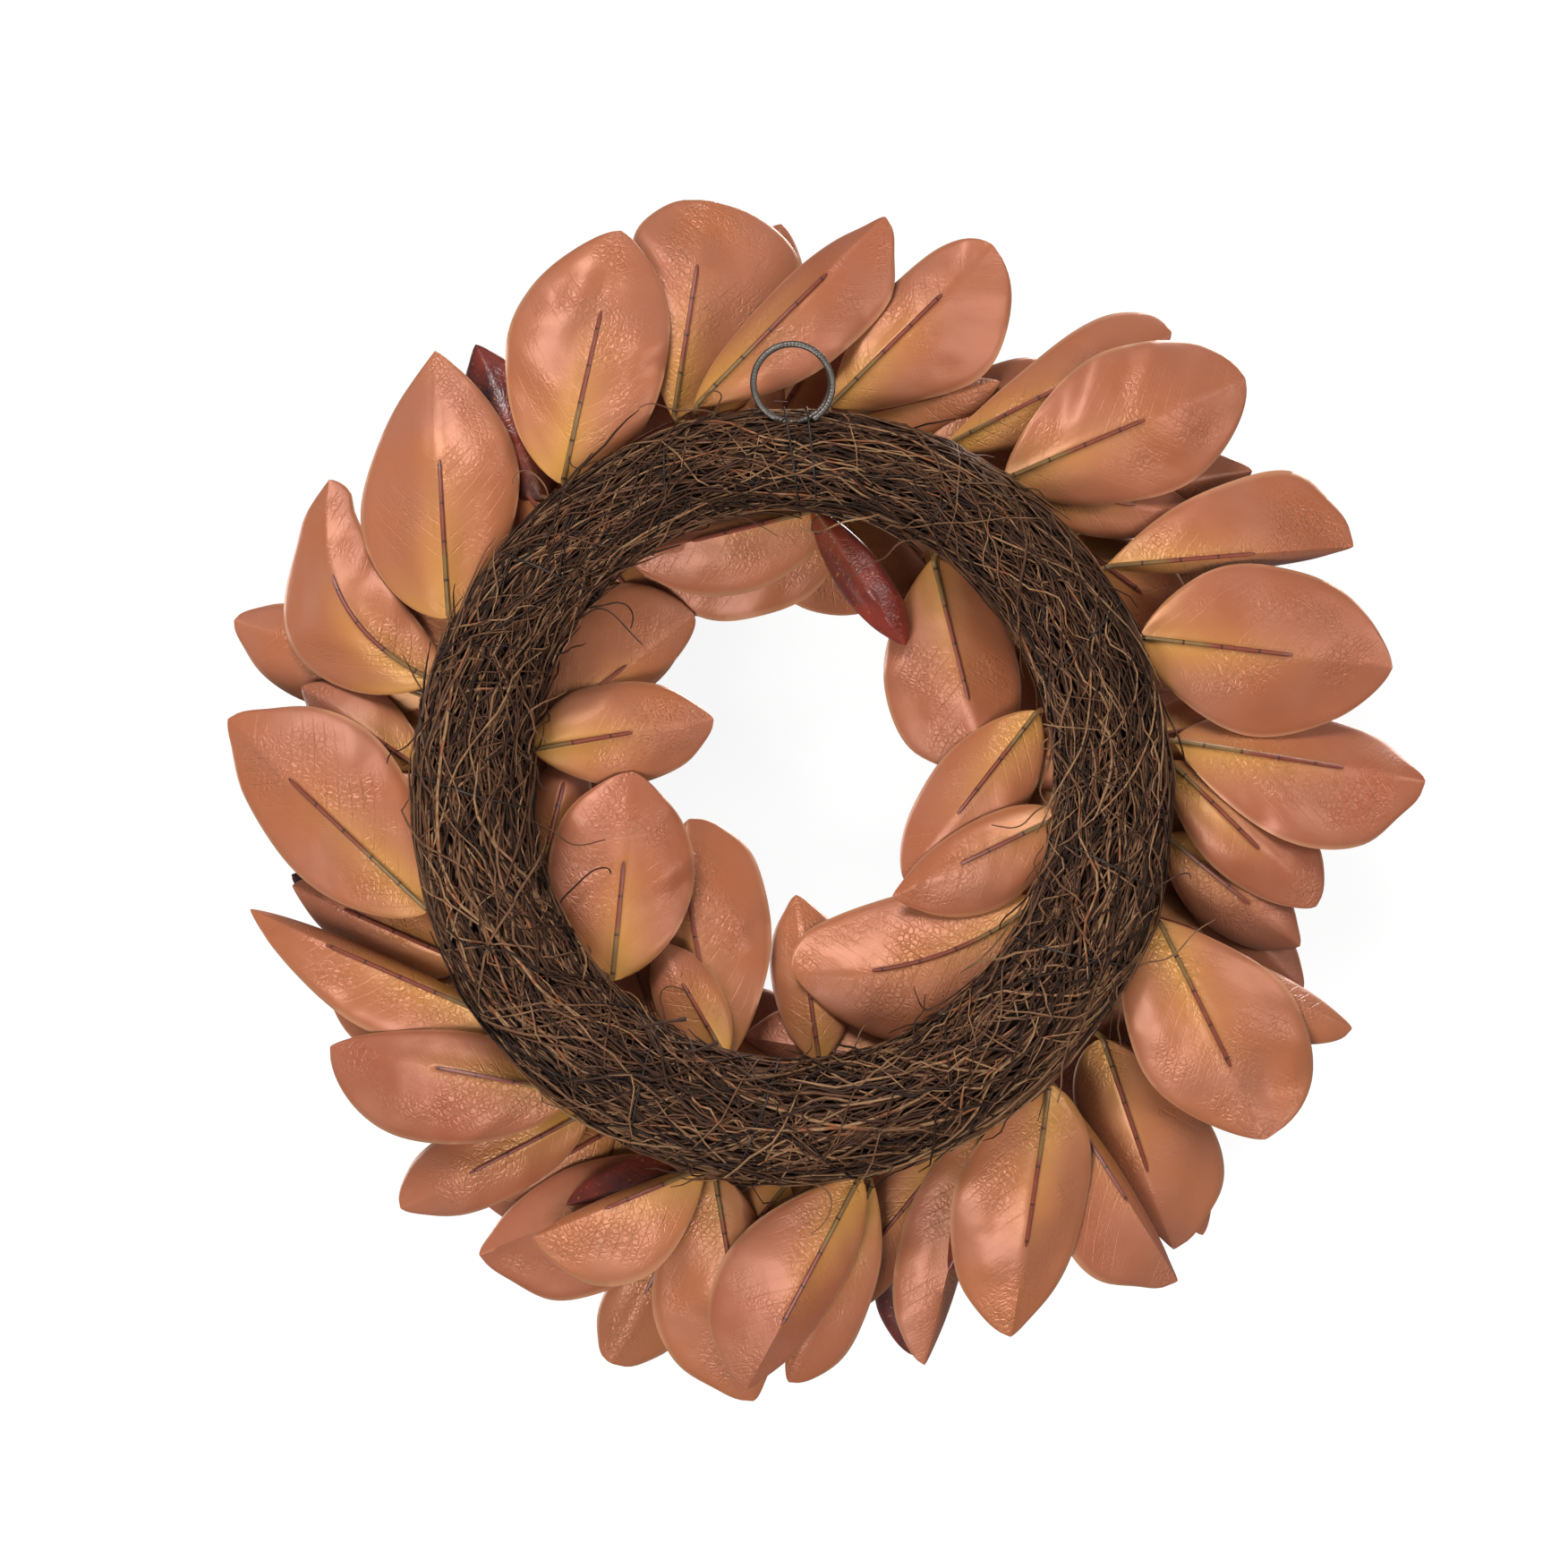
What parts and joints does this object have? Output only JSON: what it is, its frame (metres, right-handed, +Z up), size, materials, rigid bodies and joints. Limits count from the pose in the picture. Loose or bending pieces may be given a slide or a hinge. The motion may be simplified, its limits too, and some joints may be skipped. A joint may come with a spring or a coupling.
{
  "type": "magnolia wreath",
  "caption": "Hanging wreath of moulded magnolia leaves, copper-backed and dark-fronted, wired to a ring of bound twigs with a metal hanging ring at the top.",
  "frame": {"origin": "top of the inside of the hanging ring, where a hook or a nail carries the wreath", "axes": "+Z up as it hangs, -Y towards the wreath's front, +Y towards its back with the bare twigs, +X to the right as seen from the front"},
  "size_m": [0.6582, 0.1764, 0.6632],
  "materials": {
    "leaf": "satin moulded leaf, copper brown on its back and glossy dark plum on its front",
    "twigs": "dry dark brown twigs with their bark on",
    "hanging_ring": "dull gunmetal grey wire",
    "wire": "thin dark binding wire"
  },
  "bodies": {
    "root": {"twig_ring": "twigs", "hanging_ring": "hanging_ring", "ring_tie_1": "wire", "ring_tie_2": "wire", "binding_wire_1": "wire", "binding_wire_2": "wire", "binding_wire_3": "wire", "binding_wire_4": "wire", "binding_wire_5": "wire", "binding_wire_6": "wire", "binding_wire_7": "wire", "binding_wire_8": "wire", "binding_wire_9": "wire", "back_spray_a": "leaf", "back_spray_b": "leaf", "back_spray_c": "leaf", "back_spray_d": "leaf", "back_spray_e": "leaf", "back_spray_f": "leaf", "back_spray_g": "leaf", "back_spray_h": "leaf", "back_spray_i": "leaf", "back_spray_j": "leaf", "back_spray_k": "leaf", "back_spray_l": "leaf", "back_spray_m": "leaf", "back_spray_n": "leaf", "back_spray_o": "leaf", "back_spray_p": "leaf", "back_spray_q": "leaf", "back_spray_r": "leaf", "back_spray_s": "leaf", "back_spray_t": "leaf", "back_spray_u": "leaf", "back_spray_v": "leaf", "back_spray_w": "leaf", "back_spray_x": "leaf", "inner_spray_a": "leaf", "inner_spray_c": "leaf", "inner_spray_d": "leaf", "inner_spray_e": "leaf", "inner_spray_f": "leaf", "inner_spray_g": "leaf", "inner_spray_h": "leaf", "inner_spray_i": "leaf", "inner_spray_j": "leaf", "inner_spray_k": "leaf", "inner_spray_l": "leaf", "front_spray_a": "leaf", "front_spray_b": "leaf", "front_spray_c": "leaf", "front_spray_d": "leaf", "front_spray_e": "leaf", "front_spray_f": "leaf", "front_spray_g": "leaf", "front_spray_h": "leaf", "front_spray_i": "leaf", "front_spray_j": "leaf", "front_spray_k": "leaf", "front_spray_l": "leaf"}
  },
  "joints": []
}
